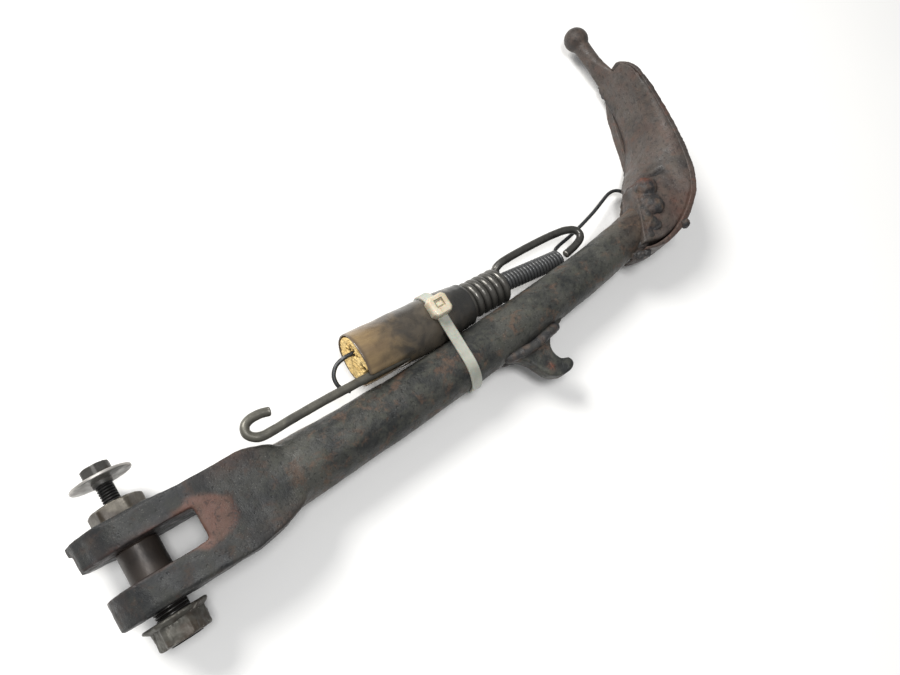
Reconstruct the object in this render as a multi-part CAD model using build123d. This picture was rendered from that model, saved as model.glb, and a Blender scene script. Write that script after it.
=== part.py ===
from build123d import *
import os
from math import radians, sqrt, tan

# Motorcycle side stand (kickstand), millimetres.
# Origin: centre of the pivot bush, on the pivot axis, half way between the fork ears.
# +X runs along the leg from the pivot to the foot, +Y runs along the pivot axis towards the
# bolt head and the switch screw, +Z is up when the stand lies on the edges of its fork and foot.

# ---------------------------------------------------------------- driving dimensions
fork_gap = 12.0                # space between the two ears, taken by the bush
ear_thickness_head = 10.3      # ear under the bolt head
ear_thickness_nut = 11.2       # ear on the nut side
ear_radius = 16.0              # rounding of both ears about the pivot
ear_clear = 0.08               # half of the side play of the bush in the gap
stop_reach = 19.4              # stop lug of the head-side ear, from the pivot axis
stop_notch_radius = 3.2        # worn notch in the stop lug
slot_end_x = 21.2              # end wall of the fork slot
fork_root_x = 60.0             # where the fork has become the round leg

bolt_diameter = 12.0           # pivot bolt M12 x 1.25
bolt_pitch = 1.25
bolt_thread_length = 15.0
bolt_bore_clearance = 0.06     # radial, bolt to ears and to bush
head_across_flats = 17.0
head_height = 5.3
bolt_end_y = -29.6
bush_diameter = 14.6

nut_across_flats = 17.0
nut_height = 9.0
nut_flange_diameter = 23.0
nut_flange_thickness = 2.2
nut_gap = 3.0                  # the nut has backed off this far from the ear
thread_clearance = 0.05        # radial, between a thread's crests and its nut

screw_diameter = 6.0           # switch screw M6 x 1
screw_pitch = 1.0
screw_shoulder_diameter = 7.0
screw_shoulder_length = 3.0
screw_across_flats = 9.6
screw_head_height = 4.4
screw_length = 17.0
screw_hole_depth = 21.0
screw_counterbore = (7.3, 2.0)   # diameter and depth, clears the shoulder
washer_diameter = 21.4
washer_thickness = 1.3
washer_y = 30.6                # face of the washer that looks at the bolt head

leg_stations = [               # X, Y of the centre, half width, half height
    (40.0, 0.0, 12.8, 13.0),
    (60.0, 0.2, 12.3, 12.4),
    (82.0, 0.8, 11.5, 11.6),
    (105.0, 1.5, 11.0, 11.1),
    (130.0, 3.0, 10.6, 10.7),
    (160.0, 5.6, 10.1, 10.1),
    (190.0, 8.7, 9.5, 9.5),
    (216.0, 12.1, 9.1, 9.1),
    (240.0, 16.9, 8.6, 8.6),
    (257.0, 21.6, 8.3, 8.3),
]

horn_thickness = 7.0
foot_bottom = -16.0
foot_top = 15.0
foot_core_bottom = -11.0       # lower edge of the foot plate, above the lip of the sole
sole_shift = (-2.6, 1.9)       # the sole is what this shift uncovers, about 3 mm thick
tang_ball = (279.0, 114.0, -5.8)
tang_ball_diameter = 12.2
tang_neck_diameter = 7.8

spring_tilt = 6.0              # degrees, the mouth of the sleeve is the high end
mouth = (95.0, 24.35, 5.0)     # centre of the sleeve's mouth
outer_wire = 3.5
outer_coil_diameter = 15.9
outer_coil_start = 27.0        # along the spring axis from the mouth
outer_coil_turns = 14
inner_wire = 1.7
inner_coil_diameter = 8.5
inner_coil_start = 27.0
inner_coil_turns = 29
inner_tail_lean = 3.6          # degrees, the free end of the inner coil leans to the leg
inner_tail_turns = 17
hook_tilt = 8.0                # degrees, line of the pull-out hook
hook_line = (90.0, 15.9, 8.55)  # a point on the hook's straight shank
hook_inner_end = 118.0         # X of the hidden end of the shank
sleeve_length = 54.0
sleeve_wall = 1.1
foam_length = 20.0

tie_x = 133.0
tie_width = 4.6
tie_thickness = 1.25
tie_head = (8.6, 8.4, 5.4)

head_ear_y = fork_gap / 2 + ear_thickness_head
nut_ear_y = -fork_gap / 2 - ear_thickness_nut
nut_seat_y = nut_ear_y - nut_gap
across_corners = 2 / sqrt(3)


# ---------------------------------------------------------------- helpers
def along_y(diameter, y0, y1, x=0.0, z=0.0):
    """A cylinder parallel to Y between two Y positions."""
    return Pos(x, (y0 + y1) / 2, z) * Rot(90, 0, 0) * Cylinder(diameter / 2, abs(y1 - y0))


def hex_along_y(flats, y0, y1, turn=0.0):
    """A hexagonal prism along Y with chamfered corners on both ends."""
    length = abs(y1 - y0)
    corner = flats / 2 * across_corners
    prism = Pos(0, max(y0, y1), 0) * Rot(90, 0, 0) * extrude(
        RegularPolygon(corner, 6, rotation=turn), length)
    round_end = min(y0, y1) + length / 2
    barrel = Pos(0, round_end, 0) * Rot(90, 0, 0) * chamfer(
        Cylinder(corner, length).edges().filter_by(GeomType.CIRCLE), 0.9)
    return prism & barrel


def grooved_rod(diameter, pitch, y0, y1, depth):
    """A threaded length drawn as rings: V grooves one pitch apart along Y."""
    low, high = min(y0, y1), max(y0, y1)
    outline = [(0, low), (diameter / 2 - depth, low)]
    count = int((high - low) / pitch - 0.01)
    for ring in range(count):
        base = low + ring * pitch
        outline += [(diameter / 2, base + 0.35 * pitch), (diameter / 2, base + 0.65 * pitch),
                    (diameter / 2 - depth, base + pitch)]
    outline += [(diameter / 2 - depth, high), (0, high)]
    return revolve(make_face(Polyline(*outline, close=True)), Axis.Y)


def wire(points, radii, diameter):
    """Round wire along straight runs joined by tangent arcs."""
    path = FilletPolyline(*points, radius=radii)
    start = Plane(path @ 0, z_dir=path % 0)
    return sweep(start * Circle(diameter / 2), path=path)


def ribbed_coil(coil_diameter, wire_diameter, turns):
    """A close-wound coil as a tube with one rib for each turn, along +X from X = 0."""
    middle = (coil_diameter - wire_diameter) / 2
    inner = middle - wire_diameter / 2
    profile = [(0, inner), (0, middle + 0.25 * wire_diameter)]
    for turn in range(turns):
        left = turn * wire_diameter
        profile += [(left + 0.18 * wire_diameter, middle + 0.42 * wire_diameter),
                    (left + 0.5 * wire_diameter, middle + 0.5 * wire_diameter),
                    (left + 0.82 * wire_diameter, middle + 0.42 * wire_diameter),
                    (left + wire_diameter, middle + 0.25 * wire_diameter)]
    profile += [(turns * wire_diameter, inner)]
    return revolve(make_face(Polyline(*profile, close=True)), Axis.X)


def on_spring(x, y=0.0, z=0.0):
    """Place of a point given along the spring axis from the sleeve's mouth."""
    return Pos(*mouth) * Rot(0, spring_tilt, 0) * Pos(x, y, z)


# ---------------------------------------------------------------- fork and leg
def leg_forging():
    plan = make_face(Polyline(
        (-26, nut_ear_y), (33, nut_ear_y), (45, -15.1), (53, -12.4), (fork_root_x, -7.0),
        (fork_root_x, 7.0), (53, 12.2), (46, 14.6), (41, 15.4), (30, 14.9), (20, 14.9),
        (8, head_ear_y), (-26, head_ear_y), close=True))
    fork = extrude(plan, 20, both=True)

    side = Circle(ear_radius) + make_face(Polyline(
        (0, ear_radius), (24, 15.2), (44, 13.2), (53, 11.6), (fork_root_x, 7.0),
        (fork_root_x, -7.0), (53, -11.6), (44, -13.2), (24, -15.2), (0, -ear_radius), close=True))
    side_block = Rot(90, 0, 0) * extrude(side, 40, both=True)
    stop = Rot(90, 0, 0) * extrude(
        make_face(Polyline((0, 11.5), (-9, 12.4), (-16.5, 6.5), (-stop_reach, 0.5),
                           (-17.6, -6.5), (-10, -12.2), (0, -11.5), close=True)), 40, both=True)
    stop_side = Pos(0, 25 + fork_gap / 2, 0) * Box(120, 50, 60)
    rounding = Pos(20, (head_ear_y + nut_ear_y) / 2, 0) * Rot(0, 90, 0) * extrude(
        RectangleRounded(2 * ear_radius + 0.4, head_ear_y - nut_ear_y + 0.02, 3.2), 50, both=True)
    body = fork & (side_block + (stop & stop_side)) & rounding

    sections = [Plane(origin=(x, y, 0), x_dir=(0, 1, 0), z_dir=(1, 0, 0))
                * Ellipse(half_width, half_height)
                for x, y, half_width, half_height in leg_stations]
    shaft = loft(sections)
    body = body + shaft

    slot = Pos((slot_end_x - 40) / 2, 0, 0) * Box(slot_end_x + 40, fork_gap, 60)
    body = body - slot
    body = body - along_y(bolt_diameter + 2 * bolt_bore_clearance, -30, 30)
    notch = along_y(2 * stop_notch_radius, fork_gap / 2 - 1, head_ear_y - 3.5,
                    x=-stop_reach - 0.8, z=1.0)
    return body - notch


def spring_horn(leg):
    """The flat hook that the frame end of the springs is set over when the stand is fitted."""
    root = make_face(Polyline((148.5, -4.5), (158.5, -9.0), (161.0, -14.5), (171.5, -15.8),
                              (170.6, -9.5), (175.5, -4.8), (181.0, -1.0), (168.0, 4.0),
                              close=True))
    tip = Pos(167.6, -17.0) * Circle(5.4)
    end = Pos(172.6, -18.6) * Circle(2.6)
    lug = extrude((root + tip + end), horn_thickness / 2, both=True)
    throat = Pos(176.4, -10.4) * Cylinder(5.6, 3 * horn_thickness)
    return (lug - throat) - leg


def horn_weld(leg, horn):
    """One fillet bead on each face of the horn, along its root."""
    beads = []
    for side in (-1, 1):
        bead = wire([(151.0, -5.2, side * 4.2), (163.0, -4.6, side * 4.2), (177.0, -3.0, side * 4.2)],
                    [20.0], 4.2)
        beads.append((bead - leg) - horn)
    return beads


# ---------------------------------------------------------------- foot
def foot_outline():
    """Plan view of the whole foot: a banana, thin at its tip and thick at the leg."""
    outer = Spline((280.0, 89.0), (282.6, 74.0), (281.4, 56.0), (278.6, 38.0), (272.2, 21.0),
                   (260.0, 8.2), (245.0, 3.0), (231.5, 5.2))
    inner = Spline((246.5, 33.5), (256.0, 39.5), (264.5, 47.5), (271.0, 58.0), (275.0, 72.0),
                   (276.5, 89.0))
    return make_face([outer, Line((231.5, 5.2), (246.5, 33.5)), inner,
                      Line((276.5, 89.0), (280.0, 89.0))])


def foot_face():
    """The foot seen along X: straight edges, a rounded tip, a heel that drops."""
    outline = make_face([
        Line((2.0, -9.0), (12.0, foot_bottom)),
        Line((12.0, foot_bottom), (74.0, foot_bottom)),
        Line((74.0, foot_bottom), (91.0, -11.5)),
        Line((91.0, -11.5), (91.0, 0.0)),
        ThreePointArc((91.0, 0.0), (88.2, 10.0), (79.0, foot_top)),
        Line((79.0, foot_top), (16.0, foot_top)),
        Line((16.0, foot_top), (2.0, 9.0)),
        Line((2.0, 9.0), (2.0, -9.0)),
    ])
    return Plane(origin=(220, 0, 0), x_dir=(0, 1, 0), z_dir=(1, 0, 0)) * outline


def foot_parts(leg):
    banana = extrude(foot_outline(), 30, both=True) & extrude(foot_face(), 80)
    shifted = Pos(sole_shift[0], sole_shift[1], 0) * extrude(foot_outline(), 30, both=True)
    core_space = Pos(260, 50, foot_core_bottom + 50) * Box(120, 140, 100)
    core = (banana & shifted & core_space) - leg

    root = (278.2, 80.0, -4.6)
    axis = Vector(*tang_ball) - Vector(*root)
    reach = axis.length
    lathe = make_face(Polyline((0, 0), (6.4, 0), (6.0, 6.0), (4.6, 12.0), (tang_neck_diameter / 2, 17.0),
                               (tang_neck_diameter / 2, reach), (0, reach), close=True))
    neck = Plane(origin=root, z_dir=axis.normalized()) * revolve(
        Plane.XZ * lathe, Axis.Z)
    ball = Pos(*tang_ball) * Sphere(tang_ball_diameter / 2)
    tip_space = Pos(278, 100, 0) * Box(8.2, 40, 60)
    lever = (neck & (tip_space + Pos(278, 122, 0) * Box(30, 40, 60))) + ball
    plate = (core + lever)

    lip = make_face([Spline((281.0, 87.0), (275.4, 74.0), (270.2, 60.0), (265.4, 46.5),
                            (262.5, 41.5)),
                     Line((262.5, 41.5), (282.0, 41.5)), Line((282.0, 41.5), (286.0, 74.0)),
                     Line((286.0, 74.0), (281.0, 87.0))])
    lip_body = Pos(0, 0, foot_bottom) * extrude(lip, foot_core_bottom - foot_bottom)
    shell = (banana - shifted) + (lip_body & extrude(foot_face(), 80)
                                  & (banana + Pos(-7.0, 0, 0) * banana))
    sole = (shell - plate) - leg
    return plate, sole


def solids_of(shape):
    """The solids of a shape, largest first."""
    return sorted(shape.solids(), key=lambda s: -s.volume)


def foot_weld(leg, plate, sole):
    """The fillets that join the leg's end to the foot: one bead above, one below."""
    beads = []
    for side in (-1, 1):
        bead = wire([(244.5, 31.0, side * 0.6), (243.0, 26.5, side * 7.0),
                     (240.0, 17.5, side * 10.2), (236.5, 9.5, side * 7.5),
                     (235.0, 6.0, side * 0.6)], 4.0, 6.4)
        beads.append(solids_of(((bead - leg) - plate) - sole)[0])
    return beads


def tack_welds(leg, plate, sole, weld):
    """Four tacks that hold the sole to the plate and to the leg."""
    spots = [(279.4, 84.2, -11.3, 2.2), (263.6, 42.4, -11.3, 2.6), (256.2, 6.4, 10.3, 2.4),
             (230.9, 4.3, 4.2, 2.7)]
    tacks = []
    for x, y, z, radius in spots:
        tack = Pos(x, y, z) * Sphere(radius)
        tack = (((tack - leg) - plate) - sole) - weld[0] - weld[1]
        tacks.append(solids_of(tack)[0])
    return tacks


# ---------------------------------------------------------------- pivot hardware
def pivot_bolt():
    head = hex_along_y(head_across_flats, head_ear_y, head_ear_y + head_height)
    shank = along_y(bolt_diameter, bolt_end_y + bolt_thread_length, head_ear_y)
    thread = grooved_rod(bolt_diameter, bolt_pitch, bolt_end_y,
                         bolt_end_y + bolt_thread_length, 0.55)
    top = head_ear_y + head_height
    tapped = along_y(screw_diameter + 2 * thread_clearance, top - screw_hole_depth, top + 1)
    mouth_diameter, mouth_depth = screw_counterbore
    counterbore = along_y(mouth_diameter, top - mouth_depth, top + 1)
    return (head + shank + thread) - tapped - counterbore


def pivot_bush():
    ring = along_y(bush_diameter, -fork_gap / 2 + ear_clear, fork_gap / 2 - ear_clear)
    ring = chamfer(ring.edges().filter_by(GeomType.CIRCLE), 0.4)
    return ring - along_y(bolt_diameter + 2 * bolt_bore_clearance, -10, 10)


def flange_nut():
    flange_y = nut_seat_y - nut_flange_thickness
    end_y = nut_seat_y - nut_height
    flange = along_y(nut_flange_diameter, flange_y, nut_seat_y)
    flange = chamfer(flange.edges().filter_by(GeomType.CIRCLE).sort_by(Axis.Y)[0], 0.9)
    hexagon = hex_along_y(nut_across_flats, end_y, flange_y + 0.5)
    bore = along_y(bolt_diameter + 2 * thread_clearance, -50, 0)
    pocket = along_y(14.2, end_y - 1, end_y + 1.7)
    return (flange + hexagon) - bore - pocket


def nut_lock_ring():
    end_y = nut_seat_y - nut_height
    ring = along_y(14.1, end_y + 0.15, end_y + 1.6)
    return ring - along_y(bolt_diameter + 2 * thread_clearance, -50, 0)


def switch_screw():
    head_y = washer_y + washer_thickness + 0.05
    head = hex_along_y(screw_across_flats, head_y, head_y + screw_head_height, turn=30.0)
    shoulder = along_y(screw_shoulder_diameter, head_y - screw_shoulder_length, head_y)
    thread = grooved_rod(screw_diameter, screw_pitch, head_y - screw_length,
                         head_y - screw_shoulder_length, 0.4)
    return head + shoulder + thread


def switch_washer():
    disc = along_y(washer_diameter, washer_y, washer_y + washer_thickness)
    disc = chamfer(disc.edges().filter_by(GeomType.CIRCLE), 0.25)
    return disc - along_y(screw_shoulder_diameter + 0.16, 20, 40)


# ---------------------------------------------------------------- springs and their sleeve
def outer_spring_coil():
    coil = on_spring(outer_coil_start) * ribbed_coil(outer_coil_diameter, outer_wire, outer_coil_turns)
    end_hook = wire([(158.0, 30.4, -1.6), (169.0, 30.6, -1.5), (178.0, 32.6, -1.4), (205.0, 31.8, -1.2),
                     (213.6, 31.4, -1.2), (214.6, 26.2, -1.4), (203.4, 22.3, -1.8)],
                    [12.0, 10.0, 20.0, 3.2, 3.2], outer_wire)
    return coil + end_hook


def outer_spring_hook():
    """The hook at the fork end, on a straight shank that runs into the sleeve."""
    x, y, z = hook_line
    rise = tan(radians(hook_tilt))

    def at(px, dy=0.0):
        return (px, y + dy, z - (px - x) * rise)

    return wire([at(hook_inner_end), at(47.2, -0.7), at(45.4, 6.6), at(57.0, 6.4)],
                [3.1, 3.1], outer_wire)


def inner_spring_coil():
    length = inner_coil_turns * inner_wire
    lean = Pos(length, 0, 0) * Rot(0, 0, -inner_tail_lean)
    mitre = Pos(length, 0, 0) * Rot(0, 0, -inner_tail_lean / 2)
    body = ribbed_coil(inner_coil_diameter, inner_wire, inner_coil_turns + 1)
    body = body & (mitre * Pos(-100, 0, 0) * Box(200, 40, 40))
    tail = (lean * Pos(-inner_wire, 0, 0)
            * ribbed_coil(inner_coil_diameter, inner_wire, inner_tail_turns + 1))
    tail = tail & (mitre * Pos(100, 0, 0) * Box(200, 40, 40))
    end_hook = wire([(197.0, 22.4, -4.0), (199.6, 25.4, -4.6), (214.0, 28.8, -6.4), (240.0, 35.0, -8.4),
                     (246.0, 37.6, -10.6), (248.6, 33.6, -13.0)], [2.2, 12.0, 20.0, 3.0], inner_wire)
    return on_spring(inner_coil_start) * (body + tail) + end_hook


def inner_spring_hook():
    """The small eye of the inner spring that stands out of the foam."""
    shank = wire([(118.0, 27.0, 3.6), (96.0, 27.0, 6.0), (88.2, 27.6, 5.0), (84.0, 20.6, 3.6),
                  (89.0, 15.0, 2.2)], [4.0, 3.4, 3.0], inner_wire)
    return shank


def tube_space(points, diameter):
    """A straight round space from the first point to the second."""
    a, b = Vector(*points[0]), Vector(*points[1])
    return Plane(origin=a, z_dir=(b - a).normalized()) * extrude(Circle(diameter / 2), (b - a).length)


def shank_space(diameter):
    x, y, z = hook_line
    rise = tan(radians(hook_tilt))
    ends = [(px, y, z - (px - x) * rise) for px in (60.0, hook_inner_end + 1.0)]
    return tube_space(ends, diameter)


def sleeve_profile(grow=0.0):
    """Outer radius of the sleeve along its axis: wide at the mouth, tight on the coil."""
    return [(0.0, 10.8 + grow), (12.0, 10.6 + grow), (34.0, 10.1 + grow),
            (sleeve_length, 8.75 + grow)]


def spring_sleeve():
    outer = sleeve_profile()
    inner = [(px, radius - sleeve_wall) for px, radius in outer]
    inner[-1] = (sleeve_length, outer_coil_diameter / 2 + 0.06)
    profile = make_face(Polyline(*outer, *reversed(inner), close=True))
    body = on_spring(0) * revolve(profile, Axis.X)
    relief = on_spring(outer_coil_start - 1) * Rot(0, 90, 0) * extrude(
        Circle(outer_coil_diameter / 2 + 0.06), 60)
    slit = on_spring(0, -12.0, 3.4) * Box(30, 12, 3.2)
    return ((body - relief) - shank_space(outer_wire + 0.5)) - slit


def foam_plug():
    start, radius = 1.2, 9.5
    plug = on_spring(start) * Rot(0, 90, 0) * extrude(Circle(radius - 0.25), foam_length)
    plug = plug - shank_space(outer_wire + 0.6)
    return plug - tube_space([(80.0, 27.0, 7.75), (120.0, 27.0, 3.38)], inner_wire + 0.7)


def cable_tie():
    """One loop round the leg and the sleeve, with the ratchet head on top of the sleeve."""
    leg_y, leg_r = 3.25, 10.75
    turn = tan(radians(spring_tilt))
    sleeve_z = mouth[2] - (tie_x - mouth[0]) * turn
    sleeve_r = 10.3

    def loop(extra):
        rounds = (Pos(leg_y, 0) * Circle(leg_r + extra)).edge(), \
                 (Pos(mouth[1], sleeve_z) * Circle(sleeve_r + extra)).edge()
        return make_face(make_hull(list(rounds)).edges())

    ring = loop(tie_thickness + 0.1) - loop(0.1)
    section = Plane(origin=(tie_x - tie_width / 2, 0, 0), x_dir=(0, 1, 0), z_dir=(1, 0, 0))
    strap = extrude(section * ring, tie_width)
    head_z = sleeve_z + sleeve_r + 0.25 + tie_head[2] / 2
    head = Pos(tie_x, mouth[1] + 1.6, head_z) * Rot(-3, 0, 0) * Box(*tie_head)
    head = fillet(head.edges(), 0.8)
    inside = extrude(section * loop(0.1), tie_head[0] + 4, both=True)
    return strap + (head - inside)


def write(name, *shapes):
    solids = [solid for shape in shapes for solid in shape.solids()]
    part = solids[0] if len(solids) == 1 else Compound(children=solids)
    part.label = name
    export_step(part, f"parts/{name}.step")


def main():
    os.makedirs("parts", exist_ok=True)
    leg = leg_forging()
    horn = spring_horn(leg)
    plate, sole = foot_parts(leg)
    weld = foot_weld(leg, plate, sole)
    write("leg_forging", leg)
    write("spring_horn", horn)
    write("horn_weld", *horn_weld(leg, horn))
    write("foot_plate", plate)
    write("sole_plate", sole)
    write("foot_weld", *weld)
    write("sole_tack_welds", *tack_welds(leg, plate, sole, weld))
    write("pivot_bolt", pivot_bolt())
    write("pivot_bush", pivot_bush())
    write("flange_nut", flange_nut())
    write("nut_lock_ring", nut_lock_ring())
    write("switch_screw", switch_screw())
    write("switch_washer", switch_washer())
    write("outer_spring_coil", outer_spring_coil())
    write("outer_spring_hook", outer_spring_hook())
    write("inner_spring_coil", inner_spring_coil())
    write("inner_spring_hook", inner_spring_hook())
    write("spring_sleeve", spring_sleeve())
    write("foam_plug", foam_plug())
    write("cable_tie", cable_tie())


main()
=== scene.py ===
import math
import random

import bpy
import bmesh
import numpy as np
from mathutils import Matrix, Vector, noise


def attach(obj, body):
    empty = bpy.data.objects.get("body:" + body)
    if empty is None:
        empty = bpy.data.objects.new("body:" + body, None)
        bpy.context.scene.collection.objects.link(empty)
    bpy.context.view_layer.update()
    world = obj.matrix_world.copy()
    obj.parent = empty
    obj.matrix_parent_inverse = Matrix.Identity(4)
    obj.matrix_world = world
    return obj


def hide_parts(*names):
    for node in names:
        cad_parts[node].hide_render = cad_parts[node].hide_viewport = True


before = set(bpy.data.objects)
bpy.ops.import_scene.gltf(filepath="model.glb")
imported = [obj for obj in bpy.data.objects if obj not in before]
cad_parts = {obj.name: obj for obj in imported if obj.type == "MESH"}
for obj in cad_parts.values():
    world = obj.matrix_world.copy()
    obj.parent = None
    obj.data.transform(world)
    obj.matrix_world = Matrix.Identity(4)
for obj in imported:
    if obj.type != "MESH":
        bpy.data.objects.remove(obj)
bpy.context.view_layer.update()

# Lengths are millimetres in the part's own frame: +Z up, the pivot axis along Y. Lamps, bump
# depths and texture scales are in metres, and so are the meshes as they are written.
MM = 0.001
rng = random.Random(7)


# ---- camera, light, floor
FLOOR_Z = -16.0
LENS = 30.0
SENSOR = 36.0
CAMERA_AT = (26.0, -22.0, 279.07)
CAMERA_RIGHT = (0.80709, -0.52604, 0.24924)
CAMERA_UP = (0.45593, 0.83565, 0.29033)
CAMERA_BACK = (-0.36101, -0.12069, 0.9239)


def add(name, data):
    thing = bpy.data.objects.new(name, data)
    bpy.context.collection.objects.link(thing)
    return thing


def make_camera():
    data = bpy.data.cameras.new("camera")
    data.lens = LENS
    data.sensor_width = SENSOR
    data.clip_start = 0.01
    camera = add("camera", data)
    columns = zip(CAMERA_RIGHT, CAMERA_UP, CAMERA_BACK, CAMERA_AT)
    rows = [[r, u, b, at * MM] for r, u, b, at in columns]
    camera.matrix_world = Matrix(rows + [[0, 0, 0, 1]])
    bpy.context.scene.camera = camera


def area_light(name, at, aim, size, power, colour=(1, 1, 1)):
    data = bpy.data.lights.new(name, "AREA")
    data.shape = "DISK"
    data.size = size
    data.energy = power
    data.color = colour
    lamp = add(name, data)
    lamp.location = at
    lamp.rotation_euler = (Vector(aim) - Vector(at)).to_track_quat("-Z", "Y").to_euler()


# ---- node graphs
class Graph:
    """A small writer for shader node trees."""

    def __init__(self, name):
        self.material = bpy.data.materials.new(name)
        self.material.use_nodes = True
        self.tree = self.material.node_tree
        self.shader = self.tree.nodes["Principled BSDF"]
        self.coord = self.tree.nodes.new("ShaderNodeTexCoord").outputs["Object"]

    def put(self, socket, value):
        if isinstance(value, bpy.types.NodeSocket):
            self.tree.links.new(value, socket)
        else:
            socket.default_value = value

    def node(self, kind, **inputs):
        """A new node; an input's name is written with _ for a space."""
        node = self.tree.nodes.new("ShaderNode" + kind)
        for name, value in inputs.items():
            self.put(node.inputs[name.replace("_", " ")], value)
        return node

    def noise(self, scale, detail=4.0, rough=0.55, warp=0.0, stretch=None):
        at = self.coord
        if stretch:
            at = self.node("Mapping", Vector=at, Scale=stretch).outputs["Vector"]
        node = self.node("TexNoise", Vector=at, Scale=scale, Detail=detail, Roughness=rough,
                         Distortion=warp)
        return node.outputs["Fac"]

    def cells(self, scale):
        return self.node("TexVoronoi", Vector=self.coord, Scale=scale).outputs["Distance"]

    def step(self, value, low, high, bottom=0.0, top=1.0):
        node = self.node("MapRange", Value=value, From_Min=low, From_Max=high, To_Min=bottom,
                         To_Max=top)
        node.interpolation_type = "SMOOTHSTEP"
        return node.outputs["Result"]

    def math(self, kind, a, b, clamp=False):
        node = self.node("Math")
        node.operation = kind
        node.use_clamp = clamp
        self.put(node.inputs[0], a)
        self.put(node.inputs[1], b)
        return node.outputs[0]

    def times(self, a, b):
        return self.math("MULTIPLY", a, b)

    def plus(self, a, b, clamp=False):
        return self.math("ADD", a, b, clamp)

    def mix(self, factor, a, b):
        node = self.node("Mix")
        node.data_type = "RGBA"
        self.put(node.inputs["Factor"], factor)
        for name, colour in (("A", a), ("B", b)):
            self.put(node.inputs[name], (*colour, 1.0) if isinstance(colour, tuple) else colour)
        return node.outputs["Result"]

    def attribute(self, name):
        node = self.node("Attribute")
        node.attribute_name = name
        return node.outputs["Fac"]

    def edges(self, low, high):
        return self.step(self.node("NewGeometry").outputs["Pointiness"], low, high)

    def bump(self, height, strength, distance):
        node = self.node("Bump", Strength=strength, Distance=distance, Height=height)
        self.put(self.shader.inputs["Normal"], node.outputs["Normal"])

    def finish(self, colour, rough, metallic=0.0, **constants):
        inputs = dict(Base_Color=colour, Roughness=rough, Metallic=metallic, **constants)
        for name, value in inputs.items():
            self.put(self.shader.inputs[name.replace("_", " ")], value)
        return self.material


PRIMER = (0.122, 0.060, 0.045)
OLD_PRIMER = (0.098, 0.062, 0.049)
FRESH_RUST = (0.17, 0.062, 0.038)
# near black, used for soot and for painted shade
SOOT_AND_SHADE = (0.017, 0.018, 0.02)
GREASE = (0.015, 0.015, 0.015)
DUST = (0.25, 0.24, 0.21)
RUBBED_EDGE = (0.12, 0.095, 0.078)


def shade(colour, factor):
    return tuple(factor * c for c in colour)


def worn_paint(name, dark, light, bloom=(0.062, 0.063, 0.05), rust=(0.098, 0.058, 0.039),
               rust_level=0.52, shine=0.42):
    """Black chassis paint gone dull: slate, a pale bloom, brown rust, pits and dust."""
    g = Graph(name)
    broad = g.noise(55, 6, 0.62, 0.4)
    medium = g.noise(210, 8, 0.6, 0.3)
    fine = g.noise(1500, 4, 0.6)
    colour = g.mix(g.step(broad, 0.38, 0.62), dark, light)
    colour = g.mix(g.times(g.step(medium, 0.45, 0.68), 0.65), colour, bloom)
    blotches = g.step(g.noise(150, 9, 0.72, 0.3), rust_level - 0.02, rust_level + 0.13)
    painted_rust = g.times(g.attribute("brown"), g.step(medium, 0.25, 0.6, 0.45, 1.0))
    rust_mask = g.plus(blotches, painted_rust, clamp=True)
    rust_tone = g.mix(g.step(medium, 0.35, 0.65), rust, shade(rust, 1.25))
    colour = g.mix(g.times(rust_mask, 0.62), colour, rust_tone)
    primer = g.mix(g.step(medium, 0.35, 0.7), PRIMER, OLD_PRIMER)
    colour = g.mix(g.times(g.attribute("red"), g.step(medium, 0.2, 0.5, 0.7, 1.0)), colour, primer)
    colour = g.mix(g.times(g.attribute("orange"), g.step(fine, 0.3, 0.6)), colour, FRESH_RUST)
    specks = g.step(g.noise(620, 6, 0.75), 0.52, 0.62)
    colour = g.mix(g.times(specks, 0.55), colour, shade(dark, 0.45))
    # Near black from the soot attribute: soot on some parts, painted shade on the foot and sole.
    colour = g.mix(g.times(g.attribute("soot"), 0.8), colour, SOOT_AND_SHADE)
    dust = g.times(g.step(g.noise(2600, 2, 0.5), 0.64, 0.72), g.step(broad, 0.4, 0.6))
    colour = g.mix(g.times(dust, 0.4), colour, DUST)
    colour = g.mix(g.times(g.edges(0.53, 0.62), 0.4), colour, RUBBED_EDGE)
    gloss = g.step(medium, 0.3, 0.7, shine - 0.1, shine + 0.16)
    height = g.plus(g.times(medium, 0.9), g.times(fine, 0.35))
    height = g.math("SUBTRACT", height, g.step(g.cells(420), 0.22, 0.1, 0.0, 0.25))
    g.bump(height, 0.8, 0.0005)
    return g.finish(colour, g.plus(gloss, g.times(rust_mask, 0.14)), 0.0, Specular_IOR_Level=0.24)


def dirty_metal(name, base, dirt, bright, metallic=0.75, rough=(0.3, 0.6), scale=300,
                stretch=None, bump=0.35, dirt_at=0.5):
    """Bare or plated steel, rubbed bright on its edges, with dirt in broad patches and specks."""
    g = Graph(name)
    broad = g.noise(scale * 0.4, 6, 0.6, 0.4)
    medium = g.noise(scale, 8, 0.62, 0.2, stretch)
    fine = g.noise(scale * 7, 3, 0.6)
    patch = (dirt_at - 0.05, dirt_at + 0.12)
    colour = g.mix(g.step(medium, 0.35, 0.65), base, shade(base, 0.7))
    colour = g.mix(g.step(broad, *patch), colour, dirt)
    colour = g.mix(g.times(g.edges(0.525, 0.6), 0.8), colour, bright)
    colour = g.mix(g.times(g.step(fine, 0.62, 0.75), 0.35), colour, dirt)
    colour = g.mix(g.times(g.attribute("soot"), 0.85), colour, GREASE)
    level = g.step(medium, 0.3, 0.7, *rough)
    metal = g.step(broad, *patch, metallic, metallic * 0.45)
    g.bump(g.plus(medium, g.times(fine, 0.3)), bump, 0.0003)
    return g.finish(colour, level, metal)


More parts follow.
